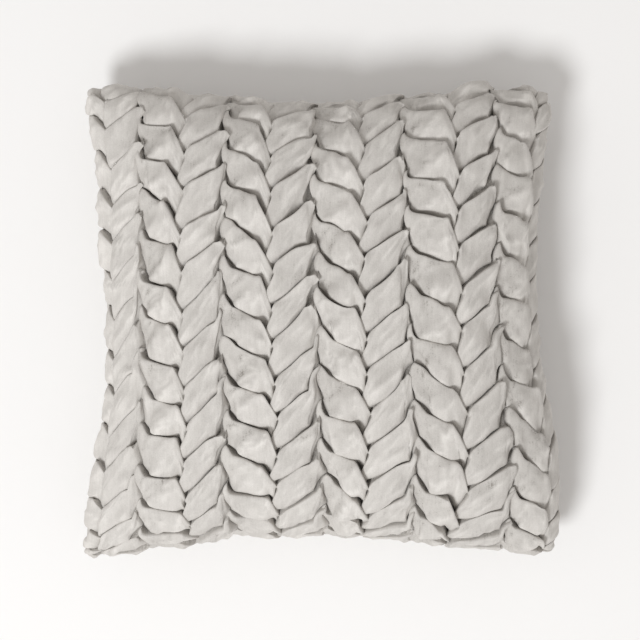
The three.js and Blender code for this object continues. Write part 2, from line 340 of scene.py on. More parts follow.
@dataclass
class Lattice:
    """Where the folds are stitched to the lines, and how the lines swing between, in mm along the cloth."""

    crown: Crown
    line_reach: float = 200.0
    line_overrun: float = 1.15
    fold_count: int = 15
    fold_pitch: float = 35.9
    first_valley: float = 231.3
    fold_rise: float = 50.0
    side_rise: float = 32.0
    squeeze_from: float = 215.0
    wander: float = 2.0
    valley_swing: float = 5.6
    valley_swing_at: float = 0.37
    peak_swing: float = 5.4
    peak_swing_at: float = 0.68
    lines: tuple[FoldLine, ...] = (
        FoldLine(FoldKind.PEAK, -258, -258, -258, -30, -26, -16),
        FoldLine(FoldKind.VALLEY, -202, -211, -205, -28, -19, -5),
        FoldLine(FoldKind.PEAK, -160, -174, -158, -21, -18, -13),
        FoldLine(FoldKind.VALLEY, -118, -131, -114, -9, -11, -5),
        FoldLine(FoldKind.PEAK, -83, -91, -78, -7, -7, -5),
        FoldLine(FoldKind.VALLEY, -43, -44, -36, -9, -5, 0),
        FoldLine(FoldKind.PEAK, -4, 0, 6, -4, 0, 1),
        FoldLine(FoldKind.VALLEY, 40, 44, 41, 1, 3, 3),
        FoldLine(FoldKind.PEAK, 77, 86, 82, 3, 2, 5),
        FoldLine(FoldKind.VALLEY, 121, 135, 121, 5, 9, 2),
        FoldLine(FoldKind.PEAK, 163, 176, 167, 5, 1, 0),
        FoldLine(FoldKind.VALLEY, 213, 216, 217, 5, 7, 5),
        FoldLine(FoldKind.PEAK, 258, 258, 258, 14, 12, 10),
    )

    def along_line(self, top: float, middle: float, foot: float, height: float) -> float:
        """Reads a line's value at a height, from its values at the top, the middle and the foot."""
        t = max(-self.line_overrun, min(self.line_overrun, height / self.line_reach))
        return middle + t * (top - foot) / 2 + t * t * ((top + foot) / 2 - middle)

    def squeeze(self, distance: float) -> float:
        """Crowds a distance along the cloth together near the seam, so that none passes it.

        Args:
            distance: The distance from the middle, in mm.

        Returns:
            The crowded distance.
        """
        reach = abs(distance)
        if reach <= self.squeeze_from:
            return distance
        room = self.crown.half_cloth - self.squeeze_from
        crowded = self.squeeze_from + room * (1 - math.exp(-(reach - self.squeeze_from) / room))
        return math.copysign(crowded, distance)

    def stitch(self, line: int, fold: int) -> tuple[float, float]:
        """Finds where a crevice is stitched to a line.

        Args:
            line: The line's number, from the left.
            fold: The crevice's number, from the top. Past either end it is the seam.

        Returns:
            Its distances along the cloth, across and up.
        """
        spec = self.lines[line]
        outermost = line in (0, len(self.lines) - 1)
        half = self.crown.half_cloth
        if fold < 0 or fold >= self.fold_count:
            end = 1 if fold < 0 else -1
            x = self.along_line(spec.top, spec.middle, spec.foot, end * self.line_reach)
            return (math.copysign(half, spec.top) if outermost else x), end * half
        rise = (self.side_rise if outermost else self.fold_rise) if spec.kind is FoldKind.PEAK else 0
        level = self.first_valley - fold * self.fold_pitch + rise
        lift = self.along_line(spec.lift_top, spec.lift_middle, spec.lift_foot, level)
        lifted = level + lift + self.wander * stray(line, fold)
        if outermost:
            return math.copysign(half, spec.top), self.squeeze(lifted)
        sideways = self.wander * stray(fold, line + len(self.lines))
        return self.along_line(spec.top, spec.middle, spec.foot, lifted) + sideways, self.squeeze(lifted)

    def swing(self, line: int, share: np.ndarray, pitch: float) -> np.ndarray:
        """Swings a line sideways between two stitches, where a leaf's edge laps over the next column.

        Args:
            line: The line's number.
            share: The share of the way from the lower stitch to the upper one.
            pitch: How far apart the two are along the cloth, in mm.

        Returns:
            The sideways move in mm at each share.
        """
        if line in (0, len(self.lines) - 1):
            return np.zeros_like(share)
        valley = self.lines[line].kind is FoldKind.VALLEY
        reach = self.valley_swing if valley else self.peak_swing
        at = self.valley_swing_at if valley else self.peak_swing_at
        tent = np.where(share < at, share / at, (1 - share) / (1 - at))
        tent = np.clip(tent, 0, 1)
        return -reach * min(1, pitch / self.fold_pitch) * (0.5 * tent + 0.5 * tent * tent * (3 - 2 * tent))


class Lean(Enum):
    """Which way a column's leaves lean."""

    SLASH = "slash"
    BACKSLASH = "backslash"


@dataclass(frozen=True)
class WayPoint:
    """A station of a crevice on its way across a column, and the crevice's form there.

    The place is a share of the way from the valley stitch to the peak stitch, across and up, on the upper and
    on the lower part of the face. Depth and gap are in mm, and closed is how much the crevice may heal over.
    """

    across: float
    rise: float
    low_across: float
    low_rise: float
    depth: float
    gap: float
    low_gap: float
    closed: float = 0.0


SLASH_WAY = (
    WayPoint(0.00, 0.00, 0.00, 0.00, 11.0, 1.0, 1.0),
    WayPoint(0.05, 0.07, 0.05, 0.09, 11.0, 1.8, 1.6, 0.1),
    WayPoint(0.11, 0.14, 0.15, 0.18, 9.0, 0.8, 0.5, 1.0),
    WayPoint(0.34, 0.245, 0.34, 0.31, 11.0, 2.4, 0.5, 0.8),
    WayPoint(0.57, 0.35, 0.54, 0.445, 13.0, 4.6, 0.9, 0.6),
    WayPoint(0.77, 0.44, 0.72, 0.53, 12.0, 3.2, 0.9, 0.4),
    WayPoint(0.83, 0.475, 0.78, 0.565, 12.0, 1.2, 0.6, 0.2),
    WayPoint(0.85, 0.56, 0.81, 0.63, 12.0, 1.2, 1.3),
    WayPoint(0.88, 0.71, 0.86, 0.78, 12.0, 1.0, 1.5),
    WayPoint(0.95, 0.88, 0.93, 0.92, 11.0, 0.6, 0.8),
    WayPoint(1.00, 1.00, 1.00, 1.00, 10.0, 0.2, 0.2),
)
BACKSLASH_WAY = (
    WayPoint(1.00, 1.00, 1.00, 1.00, 10.0, 0.4, 0.4),
    WayPoint(0.95, 0.90, 0.93, 0.88, 12.0, 1.1, 2.0),
    WayPoint(0.885, 0.84, 0.845, 0.765, 12.0, 1.2, 2.6),
    WayPoint(0.83, 0.81, 0.80, 0.73, 12.0, 1.8, 1.8, 0.2),
    WayPoint(0.73, 0.775, 0.71, 0.69, 13.0, 3.4, 1.0, 0.5),
    WayPoint(0.53, 0.71, 0.49, 0.61, 13.0, 4.0, 0.6, 0.8),
    WayPoint(0.40, 0.67, 0.33, 0.555, 11.0, 1.8, 0.6, 1.0),
    WayPoint(0.34, 0.65, 0.27, 0.53, 11.0, 1.2, 0.8, 0.6),
    WayPoint(0.285, 0.56, 0.22, 0.45, 12.0, 1.7, 2.2),
    WayPoint(0.14, 0.27, 0.11, 0.22, 13.0, 2.4, 3.4),
    WayPoint(0.00, 0.00, 0.00, 0.00, 11.0, 0.6, 0.6),
)
SLASH_CORNERS = (6,)
BACKSLASH_CORNERS = (2, 7)
SHOULDER = 7
CORNER_REACH = 0.28  # how far along the way a corner's own shift is felt, as a share of the column's width
CORNER_STATION = 6
# the rest of a slash leaf's upper edge, past the corner of the leaf above it, where nothing covers it
FREE_LIP = ((0.83, 0.475), (0.905, 0.50), (0.965, 0.525), (0.985, 0.51), (1.0, 0.48))


@dataclass(frozen=True)
class Column:
    """A column's manner at the top and at the foot.

    Open is how wide its crevices are, healed how far they close over, and shoulder how much higher than usual
    the leaves' upper right corners stand, as a share of the rise. Seamward is what is left of a crevice's
    depth and width at the peak line beside the seam, and deep is a share of both all the way.
    """

    open_top: float
    open_foot: float
    healed_top: float
    healed_foot: float
    shoulder_top: float = 0.0
    shoulder_foot: float = 0.0
    seamward: float = 1.0
    deep: float = 1.0


COLUMNS = (
    Column(0.5, 0.5, 0.3, 0.3, seamward=0.3, deep=0.3),
    Column(0.3, 0.2, 0.9, 1.1, seamward=0.9),
    Column(0.8, 0.8, 0.2, 0.5, 0.08, 0.04),
    Column(1.3, 0.5, 0.0, 0.5),
    Column(1.4, 0.8, 0.0, 0.5, -0.06, 0.0),
    Column(1.5, 0.5, 0.0, 0.7),
    Column(1.6, 0.9, 0.0, 0.7, -0.03, 0.0),
    Column(1.6, 0.6, 0.05, 0.6),
    Column(1.7, 1.1, 0.0, 0.4, 0.07, 0.0),
    Column(1.6, 0.8, 0.05, 0.6),
    Column(1.6, 1.3, 0.1, 0.3, 0.0, -0.05),
    Column(0.4, 0.6, 0.4, 0.4, seamward=0.15, deep=0.6),
)


@dataclass(frozen=True)
class CreviceManner:
    """How crevices differ over the face. Heights on it are in mm along the cloth, and the rest are shares."""

    low_way_below: float = 10.0
    high_way_above: float = 120.0
    foot_manner_below: float = -60.0
    top_manner_above: float = 190.0
    arch_stray: float = 0.02
    corner_stray: float = 0.075
    tip_covered: float = 0.5
    tip_stray: float = 0.6
    tip_free_at_top: float = 0.8
    width: float = 0.85
    width_stray: float = 0.6
    width_least: float = 0.15
    width_most: float = 1.5
    slash_steep: tuple[float, float] = (0.03, 0.12)
    backslash_steep: tuple[float, float] = (0.15, 0.35)
    steep_width: float = 0.85
    steep_stray: float = 0.35
    steep_wider_at_top: float = 0.6
    heal_stray: float = 0.35
    heal_most: float = 1.2
    heal_gain: float = 2.0
    closed_most: float = 0.95
    end_rise: float = 10.0
    end_least: float = 0.2
    seamward: tuple[float, float] = (0.1, 0.7)
    foot_from: float = 212.0
    foot_reach: float = 25.0
    foot_fade: float = 0.8


@dataclass(frozen=True)
class Dent:
    """A shallow hollow in a leaf's face, in shares across and up. It stays full up to its floor's share."""

    across: float
    up: float
    wide: float
    tall: float
    floor: float
    depth: float

    def press(self, s: np.ndarray, t: float, shift: float = 0.0) -> np.ndarray:
        """Gives how far the hollow is pressed in at places on the leaf, from 0 to 1."""
        off = np.hypot((s - self.across - shift) / self.wide, (t - self.up) / self.tall)
        return 1 - ease(self.floor, 1.0, off)


@dataclass(frozen=True)
class LeafFace:
    """The relief of a leaf's face, in mm, shares across and up, and shares of its painted shade."""

    belly: float = 0.7
    level_stray: float = 1.0
    slant: float = 2.4
    slash_ridge: float = 1.5
    slash_ridge_reach: float = 0.4
    slash_ridge_stray: float = 0.2
    slash_ridge_lean: float = 0.25
    slash_ridge_sunk: float = 0.4
    slash_dent: Dent = Dent(0.35, 0.12, 0.16, 0.22, 0.2, 1.6)
    slash_dent_stray: float = 0.25
    slash_dent_more: float = 0.2
    ridge: float = 6.0
    ridge_share: float = 0.75
    ridge_stray: float = 0.6
    ridge_at: float = 0.20
    ridge_at_stray: float = 0.10
    ridge_across: float = 0.95
    ridge_up: float = 0.58
    ridge_near: float = 0.30
    ridge_far: float = 0.55
    ridge_most: float = 1.2
    ridge_sunk: float = 0.45
    hollow: Dent = Dent(0.28, 0.62, 0.22, 0.30, 0.1, 1.5)
    tail: tuple[float, float] = (0.62, 0.95)
    tail_drop: float = 2.6
    tail_level: float = 0.7
    # a random tone for each leaf, then painted shade and painted light on its facets as the light would fall
    # on them
    nap_stray: float = 0.35
    slash_painted_shade: float = 0.2
    slash_edge_painted_shade: float = 0.25
    slash_edge_painted_shade_from: float = 0.6
    upper_facet_painted_shade: float = 0.55
    lower_facet_painted_light: float = 1.1
    lower_facet_painted_light_at: tuple[float, float] = (-0.10, 0.06)
    tail_painted_shade: float = 0.4
    tail_painted_shade_at: tuple[float, float] = (0.45, 0.75)


@dataclass(frozen=True)
class LeafRow:
    """One row of a leaf: its share between the crevices, its moves in mm from either one, and its height.

    The height is the face's, less what the crevice's depth takes; a sunk row also takes the painted crevice
    shade. Free is how far wrinkles may move it.
    """

    share: float
    from_lower: float
    from_upper: float
    gap: float
    lap: float
    drop: float
    sunk: float
    free: float = 0.0


LEAF_ROWS = (
    LeafRow(0.0, 0.0, 0.0, 0.4, 0.0, 0.0, 1.00),
    LeafRow(0.0, 0.3, 0.0, 1.0, 0.0, 0.0, 0.50),
    LeafRow(0.0, 1.2, 0.0, 1.0, 0.0, 1.5, 0.04, 0.3),
    LeafRow(0.01, 3.4, 0.0, 0.9, 0.0, 0.2, 0.0, 0.7),
    LeafRow(0.29, 1.6, 0.0, 0.3, 0.0, 0.0, 0.0, 1.0),
    LeafRow(0.52, 0.5, 0.0, 0.0, 0.0, 0.0, 0.0, 1.0),
    LeafRow(0.75, 0.0, -0.6, 0.0, 0.2, 0.0, 0.0, 1.0),
    LeafRow(1.0, 0.0, -2.6, 0.0, 0.9, 0.0, 0.0, 0.7),
    LeafRow(1.0, 0.0, 0.1, 0.0, 1.0, 0.3, 0.0, 0.3),
    LeafRow(1.0, 0.0, -0.8, 0.0, 0.9, 0.0, 0.45),
)
LIP_ROW = 8
LINE_SHARES = (0.0, 0.03, 0.08, 0.18, 0.33, 0.52, 0.70, 0.88, 0.97, 0.99)


@dataclass(frozen=True)
class Settling:
    """How the stitched cloth is left to find its own creases: it is a little too large for its place."""

    frames: int = 20
    steps: int = 5
    growth: float = 0.07
    pressure: float = 1.5
    mass: float = 0.3
    stretch: float = 15.0
    shear: float = 5.0
    bending: float = 0.05
    cap: float = 2.5
    margin: int = 7
    lip_hold: float = 0.9


@dataclass(frozen=True)
class EdgeForms:
    """What bulges past the outline: a flap over the top edge and lumps along the bottom one, in mm.

    A zone says from where to where a form rises, as shares of the way from the middle to the seam.
    """

    flap_place: float = 144.0
    flap_width: float = 30.0
    flap_fade: float = 3.0
    flap_rise: float = 6.5
    flap_zone: tuple[float, float] = (0.945, 0.985)
    lump_rise: float = 2.6
    lump_level: float = 0.3
    lump_length: float = 21.0
    lump_zone: tuple[float, float] = (0.93, 0.995)

    def bulge(self, points: np.ndarray, up: np.ndarray) -> np.ndarray:
        """Moves points of the front out where its edge bulges.

        Args:
            points: The points, in mm.
            up: Their angles up the face.

        Returns:
            The moved points.
        """
        moved = points.copy()
        beside = np.abs(moved[..., 0] - self.flap_place) - self.flap_width / 2
        window = 1 - ease(-self.flap_fade, self.flap_fade, beside)
        moved[..., 1] += self.flap_rise * window * ease(*self.flap_zone, np.sin(up))
        lump = noise(moved.reshape(-1, 3) / self.lump_length).reshape(up.shape)
        moved[..., 1] -= self.lump_rise * (lump + self.lump_level) * ease(*self.lump_zone, -np.sin(up))
        return moved


@dataclass(frozen=True)
class Wrinkles:
    """The fine wrinkles all over the velvet, in mm, with painted highlights on their crests and painted shade
    in their troughs, in shares of the painted shade.
    """

    length: float = 11.0
    height: float = 0.9
    power: float = 0.8
    finer: float = 2.3
    finer_height: float = 0.45
    finer_offset: float = 40.0
    # crests are painted paler and troughs darker, a painted highlight and shade, about this crest height
    pale: float = 0.2
    pale_above: float = 0.2

    def crests(self, points: np.ndarray) -> np.ndarray:
        """Reads the wrinkles at points of the cloth.

        Args:
            points: The points, in mm, one in each row.

        Returns:
            How high each is on them, from about -1 in a trough to 1 on a crest.
        """
        coarse = noise(points / self.length)
        fine = noise(points / self.length * self.finer + self.finer_offset)
        return 1 - 2 * np.abs(coarse) ** self.power + self.finer_height * fine


@dataclass(frozen=True)
class Crumple:
    """The crisp creases pinched into the velvet, in mm and degrees, with painted shade on one side of each,
    painted light on the other and a painted highlight on its crest, in shares of the painted shade.
    """

    cell: float = 13.0
    height: float = 3.4
    width: float = 6.0
    length: float = 17.0
    lean: float = 55.0
    spread: float = 38.0
    jitter: float = 0.5
    spread_share: float = 1.6
    missing: float = 0.12
    least_width: float = 0.6
    more_width: float = 0.7
    least_length: float = 0.6
    more_length: float = 0.6
    least_height: float = 0.35
    least_painted_light: float = 0.4
    taper_power: float = 0.7
    # painted highlight on a crease's crest, and painted shade on one side with painted light on the other
    crest_painted_highlight: float = 0.65
    side_painted_shade: float = 1.35

    def read(self, places: np.ndarray) -> tuple[np.ndarray, np.ndarray]:
        """Reads the creases at places on the face.

        Args:
            places: Distances across and up, in mm, one place in each row.

        Returns:
            The cloth's rise in mm, and the painted shade and highlight there.
        """
        cell = np.floor(places / self.cell)
        rise, crease_painted_light = np.zeros(len(places)), np.zeros(len(places))
        for step in np.ndindex(3, 3):
            number = cell + np.array(step) - 1
            kind = number @ np.array(CELL_STEPS)
            centre = (number + 0.5) * self.cell
            across, up, turned, spread, sized = (stray(kind, draw) for draw in range(1, 6))
            centre[:, 0] += self.cell * self.jitter * across
            centre[:, 1] += self.cell * self.jitter * up
            angle = np.radians(self.lean + self.spread * turned * np.abs(spread) * self.spread_share)
            size = np.clip((sized * 0.5 + 0.5 - self.missing) / (1 - self.missing), 0, 1)
            off = places - centre
            along = off[:, 0] * np.cos(angle) + off[:, 1] * np.sin(angle)
            aside = off[:, 0] * np.sin(angle) - off[:, 1] * np.cos(angle)
            aside = aside / (self.width * (self.least_width + self.more_width * size))
            reach = self.length * (self.least_length + self.more_length * size)
            taper = np.clip(1 - np.abs(along) / reach, 0, 1) ** self.taper_power
            near = np.clip(1 - np.abs(aside), 0, 1)
            tall = self.least_height + (1 - self.least_height) * size
            height = self.height * tall * near * taper * (size > 0)
            over = height > rise
            # painted shade on one side of the crease, painted light on the other, and a painted highlight on
            # the crest
            painted_sides = self.side_painted_shade * np.sign(aside) * np.sqrt(near) + self.crest_painted_highlight * near * near
            shown = self.least_painted_light + (1 - self.least_painted_light) * size
            crease_painted_light = np.where(over, painted_sides * taper * shown, crease_painted_light)
            rise = np.where(over, height, rise)
        return rise, crease_painted_light


@dataclass
class SmockedFront:
    """The gathered front and its filling: leaf shaped folds over the crown, closed by a plain underside."""

    crown: Crown
    lattice: Lattice
    manner: CreviceManner = CreviceManner()
    leaf: LeafFace = LeafFace()
    edge_forms: EdgeForms = EdgeForms()
    settling: Settling = Settling()
    wrinkles: Wrinkles = Wrinkles()
    crumple: Crumple = Crumple()
    # a leaf's height at its lip and at the roll of its foot, and how low and how far aside its two ends are
    lip_height: float = 4.2
    roll_height: float = -1.0
    near_drops: tuple[float, float] = (0.4, 0.1)
    far_drops: tuple[float, float] = (0.3, 1.2)
    tail_drops: tuple[float, float] = (0.8, 2.4)
    near_aside: float = -0.5
    far_aside: float = 0.2
    full_depth: float = 8.0
    # the stitched lines, and how far from them their swing is felt
    line_depth: float = 11.0
    line_aside: float = 0.9
    swing_reach: float = 0.35
    swing_power: float = 1.5
    # how crisp the folds are, the painted shade deep in the crevices and on the stitched lines, where the
    # painted wrinkle and crease light fades out near it and how it grows with free cloth, and how the cloth
    # gives way beside them
    lip_crease: float = 0.8
    edge_crease: float = 0.9
    crevice_painted_shade: float = -1.9
    crevice_shade_fade: tuple[float, float] = (-1.2, -0.4)
    painted_crease_gain: float = 1.5
    free_rise: float = 6.0
    # the seam and the underside
    seam_fade: float = 0.13
    edge_spacing: float = 0.7
    weld: float = 0.02
    contact_share: float = 0.64
    floor_height: float = 1.9
    underside_points: int = 96
    underside_angles: tuple[float, ...] = (80, 66, 45, 22)
    name: str = "smocked_front"

    def lean(self, column: int) -> Lean:
        """Says which way a column's leaves lean."""
        return Lean.SLASH if self.lattice.lines[column].kind is FoldKind.VALLEY else Lean.BACKSLASH

    def way(self, column: int) -> tuple[WayPoint, ...]:
        """Gives the stations of a column's crevices."""
        return SLASH_WAY if self.lean(column) is Lean.SLASH else BACKSLASH_WAY

    def course(self, column: int, fold: int, high: float) -> tuple[np.ndarray, np.ndarray]:
        """Says how a crevice goes across a column.

        Args:
            column: The column's number, from the left.
            fold: The crevice's number, from the top.
            high: How much it has the manner of the upper part of the face, from 0 to 1.

        Returns:
            Its stations' shares of the way from the valley stitch to the peak stitch, across and up.
        """
        way, way_of = self.way(column), self.manner
        across, rise = mixed(way, "low_across", "across", high), mixed(way, "low_rise", "rise", high)
        rise = rise + way_of.arch_stray * np.sin(across * math.pi) * Stray.ARCH.of(column, fold)
        for corner in SLASH_CORNERS if self.lean(column) is Lean.SLASH else BACKSLASH_CORNERS:
            felt = np.clip(1 - np.abs(across - across[corner]) / CORNER_REACH, 0, 1)
            felt[[0, -1]] = 0
            rise = rise + way_of.corner_stray * felt * Stray.CORNER_UP.of(column, fold, corner)
            across = across + way_of.corner_stray * felt * Stray.CORNER_ACROSS.of(fold, column, corner)
            if corner == SHOULDER:
                rise = rise + felt * mixed([COLUMNS[column]], "shoulder_foot", "shoulder_top", high)
        return across, rise

    def lip_course(
        self, column: int, fold: int, high: float, across: np.ndarray, rise: np.ndarray,
    ) -> tuple[np.ndarray, np.ndarray]:
        """Says how the lip of the leaf below a crevice goes. It leaves the crevice where nothing covers it.

        Args:
            column: The column's number, from the left.
            fold: The crevice's number, from the top.
            high: How much it has the manner of the upper part of the face, from 0 to 1.
            across: The crevice's shares of the way across.
            rise: Its shares of the way up.

        Returns:
            The lip's shares, across and up.
        """
        lip_across, lip_rise = across.copy(), rise.copy()
        if self.lean(column) is Lean.SLASH:
            covered = self.manner.tip_covered + self.manner.tip_stray * Stray.TIP.of(column, fold)
            filled = float(np.clip(covered - self.manner.tip_free_at_top * high, 0, 1))
            corner = np.array([across[CORNER_STATION], rise[CORNER_STATION]]) - FREE_LIP[0]
            for station, free in enumerate(FREE_LIP, CORNER_STATION):
                fade = 1 - (station - CORNER_STATION) / (len(FREE_LIP) - 1)
                free_across, free_rise = free[0] + corner[0] * fade, free[1] + corner[1]
                lip_across[station] = filled * across[station] + (1 - filled) * free_across
                lip_rise[station] = filled * rise[station] + (1 - filled) * free_rise
        return lip_across, lip_rise

    def opening(
        self, column: int, fold: int, level: float, across: np.ndarray,
    ) -> tuple[np.ndarray, np.ndarray, np.ndarray]:
        """Says how a crevice opens along its way.

        Args:
            column: The column's number, from the left.
            fold: The crevice's number, from the top.
            level: Its height on the face, in mm along the cloth.
            across: Its stations' shares of the way across.

        Returns:
            The usual gaps in mm, how wide they are here as shares of that, and how far they have healed over.
        """
        own, way_of, way = COLUMNS[column], self.manner, self.way(column)
        part = float(ease(way_of.foot_manner_below, way_of.top_manner_above, level))
        high = float(ease(way_of.low_way_below, way_of.high_way_above, level))
        width = way_of.width + way_of.width_stray * Stray.WIDTH.of(column, fold)
        width = np.clip(width, way_of.width_least, way_of.width_most)
        width = mixed([own], "open_foot", "open_top", part) * width
        steep_part = way_of.slash_steep if self.lean(column) is Lean.SLASH else way_of.backslash_steep
        steep = 1 - ease(*steep_part, across)
        steep_width = way_of.steep_width + way_of.steep_stray * Stray.STEEP_WIDTH.of(column, fold)
        width = width * (1 - steep) + steep * (steep_width * (1 + way_of.steep_wider_at_top * high))
        heal = mixed([own], "healed_foot", "healed_top", part)
        heal = np.clip(heal + way_of.heal_stray * Stray.HEALED.of(column, fold), 0, way_of.heal_most)
        healed = heal + np.array([point.closed for point in way]) - 1
        closed = np.clip(way_of.heal_gain * healed, 0, way_of.closed_most)
        return mixed(way, "low_gap", "gap", part), width, closed

    def crevice(self, column: int, fold: int) -> dict[str, np.ndarray]:
        """Lays a crevice across a column.

        Args:
            column: The column's number, from the left.
            fold: The crevice's number, from the top.

        Returns:
            Its points at the column's stations, the way across it, its lip's points, depth, gap and lap.
        """
        own, way_of = COLUMNS[column], self.manner
        left, right = self.lattice.stitch(column, fold), self.lattice.stitch(column + 1, fold)
        valley, peak = (left, right) if self.lean(column) is Lean.SLASH else (right, left)
        level = (valley[1] + peak[1]) / 2
        high = float(ease(way_of.low_way_below, way_of.high_way_above, level))
        across, rise = self.course(column, fold, high)
        points, lip = (
            np.column_stack([v + (p - v) * share for v, p, share in zip(valley, peak, shares)])
            for shares in ((across, rise), self.lip_course(column, fold, high, across, rise))
        )
        gap, width, closed = self.opening(column, fold, level, across)
        form = 0.0 if fold < 0 or fold >= self.lattice.fold_count else 1.0
        ends = np.clip(way_of.end_rise * np.minimum(across, 1 - across), way_of.end_least, 1)
        form = form * own.deep * (1 - (1 - own.seamward) * ease(*way_of.seamward, across))
        at_foot = float(ease(way_of.foot_from, way_of.foot_from + way_of.foot_reach, -level))
        form = form * (1 - way_of.foot_fade * at_foot)
        way_on = np.gradient(points, axis=0)
        way_on[1:-1] = (way_on[:-2] + 2 * way_on[1:-1] + way_on[2:]) / 4
        way_on /= np.linalg.norm(way_on, axis=-1, keepdims=True)
        return {
            "points": points,
            "lip": lip,
            "over": np.stack([-way_on[:, 1], way_on[:, 0]], axis=-1),
            "depth": form * np.array([point.depth for point in self.way(column)]) * (1 - closed),
            "gap": form * gap * width * (1 - closed),
            "lap": form * ends * (1 - closed),
            "closed": 1 - form * (1 - closed),
            "left": np.array(left),
            "right": np.array(right),
        }

    def face(self, column: int, fold: int, s: np.ndarray, t: float, closed: np.ndarray) -> np.ndarray:
        """Gives the height of a leaf's face over the crown.

        Args:
            column: The leaf's column.
            fold: The crevice below it.
            s: Shares of the way across the column.
            t: The share of the way up the leaf.
            closed: How far the crevice beside the place has healed over, so that no step is left at it.

        Returns:
            The heights in mm.
        """
        tilt = self.roll_height + (self.lip_height - self.roll_height) * (t + (0.5 - t) * closed)
        leaf = self.leaf
        height = tilt + leaf.belly * np.sin(s * math.pi) + leaf.level_stray * Stray.LEVEL.of(column, fold)
        lean = leaf.slant * Stray.SLANT.of(column, fold) * (s - 0.5)
        manner, other = Stray.RIDGE.of(column, fold), Stray.RIDGE_PLACE.of(column, fold)
        if self.lean(column) is Lean.SLASH:
            ridge = leaf.slash_ridge * manner
            off = np.abs(t - 0.5 - leaf.slash_ridge_stray * other - leaf.slash_ridge_lean * (s - 0.5))
            crest = 1 - ease(0.0, leaf.slash_ridge_reach, off)
            height = height + lean + ridge * crest - leaf.slash_ridge_sunk * ridge
            dent, more = leaf.slash_dent, max(0.0, manner + leaf.slash_dent_more)
            return height - dent.depth * more * dent.press(s, t, leaf.slash_dent_stray * other)
        ridge = leaf.ridge * (leaf.ridge_share + leaf.ridge_stray * manner)
        off = self.off_ridge(column, fold, s, t)
        slope = np.where(off < 0, -off / leaf.ridge_near, off / leaf.ridge_far)
        height = height + lean + ridge * (1 - np.clip(slope, 0, leaf.ridge_most)) - leaf.ridge_sunk * ridge
        height = height - leaf.hollow.depth * (0.5 + 0.5 * other) * leaf.hollow.press(s, t)
        return height - leaf.tail_drop * ease(*leaf.tail, s) * (1 - leaf.tail_level * t)

    def off_ridge(self, column: int, fold: int, s: np.ndarray, t: float) -> np.ndarray:
        """Measures how far places on a backslash leaf are from its ridge.

        Args:
            column: The leaf's column.
            fold: The crevice below it.
            s: Shares of the way across the column.
            t: The share of the way up the leaf.

        Returns:
            Shares of the column's width, negative on the ridge's upper left side.
        """
        leaf = self.leaf
        start = leaf.ridge_at_stray * Stray.RIDGE_PLACE.of(column, fold)
        return (s - leaf.ridge_at - start) * leaf.ridge_across - leaf.ridge_up * t

    def leaf_rows(self, column: int, fold: int) -> np.ndarray:
        """Shapes one leaf with the crevice below it.

        Args:
            column: The leaf's column.
            fold: The crevice below it.

        Returns:
            Rows of stations, each with its distances along the cloth and its height over the crown, in mm.
        """
        low, high = self.crevice(column, fold), self.crevice(column, fold - 1)
        width = max(low["right"][0] - low["left"][0], 1)
        s = np.clip((low["points"][:, 0] - low["left"][0]) / width, 0, 1)
        edge, aside = np.zeros_like(s), np.zeros_like(s)
        edge[:2] = self.near_drops
        edge[-2:] = self.far_drops if self.lean(column) is Lean.SLASH else self.tail_drops
        aside[0], aside[-1] = self.near_aside, self.far_aside
        near_left = np.maximum(0, 1 - s / self.swing_reach) ** self.swing_power
        near_right = np.maximum(0, 1 - (1 - s) / self.swing_reach) ** self.swing_power
        rows = []
        for row in LEAF_ROWS:
            share = row.share
            base = low["points"] * (1 - share) + high["lip"] * share
            down = (row.from_lower + row.gap * low["gap"])[:, None] * low["over"]
            up = (row.from_upper + row.lap * high["lap"])[:, None] * high["over"]
            place = base + down + up
            depth = (1 - share) * low["depth"] + share * high["depth"]
            t = float(np.clip(share + (row.from_lower + row.from_upper) / self.lattice.fold_pitch, 0, 1))
            closed = (1 - share) * low["closed"] + share * high["closed"]
            drop = row.drop * np.clip(depth / self.full_depth, 0, 1)
            height = self.face(column, fold, s, t, closed) - drop
            height = (height - edge) * (1 - row.sunk) - depth * row.sunk
            for line, near, stitches in (
                (column, near_left, (low["left"], high["left"])),
                (column + 1, near_right, (low["right"], high["right"])),
            ):
                pitch = stitches[1][1] - stitches[0][1]
                along = np.clip((place[:, 1] - stitches[0][1]) / max(pitch, 1), 0, 1)
                place[:, 0] += self.lattice.swing(line, along, pitch) * near
            place[:, 0] += aside
            # the leaf's painted shade and tone, giving way to the painted crevice shade on rows sunk into the
            # crevice
            painted_shades = self.tone_and_painted_shade(column, fold, s, t) * (1 - row.sunk) + self.crevice_painted_shade * row.sunk
            free = row.free * np.clip(self.free_rise * np.minimum(s, 1 - s), 0, 1)
            rows.append(np.column_stack([place, height, painted_shades, free]))
        return np.array(rows)

    def tone_and_painted_shade(self, column: int, fold: int, s: np.ndarray, t: float) -> np.ndarray:
        """Gives a leaf's painted shade: its facets painted darker and paler as the light would shade them, on
        a random tone for the whole leaf.

        Args:
            column: The leaf's column.
            fold: The crevice below it.
            s: Shares of the way across the column.
            t: The share of the way up the leaf.

        Returns:
            Numbers from -1, dark, to 1, pale.
        """
        leaf = self.leaf
        whole = leaf.nap_stray * Stray.NAP.of(column, fold)
        # a slash leaf: painted shade towards its upper edge and its far end, painted light towards its lower
        # edge
        if self.lean(column) is Lean.SLASH:
            at_edge = leaf.slash_edge_painted_shade * ease(leaf.slash_edge_painted_shade_from, 1.0, s)
            return np.full_like(s, whole + leaf.slash_painted_shade * (0.5 - t)) - at_edge
        # a backslash leaf: painted shade above its ridge, painted light below it, painted shade again on its
        # tail
        off = self.off_ridge(column, fold, s, t)
        turned = leaf.lower_facet_painted_light * ease(*leaf.lower_facet_painted_light_at, off)
        return whole - leaf.upper_facet_painted_shade + turned - leaf.tail_painted_shade * ease(*leaf.tail_painted_shade_at, off)

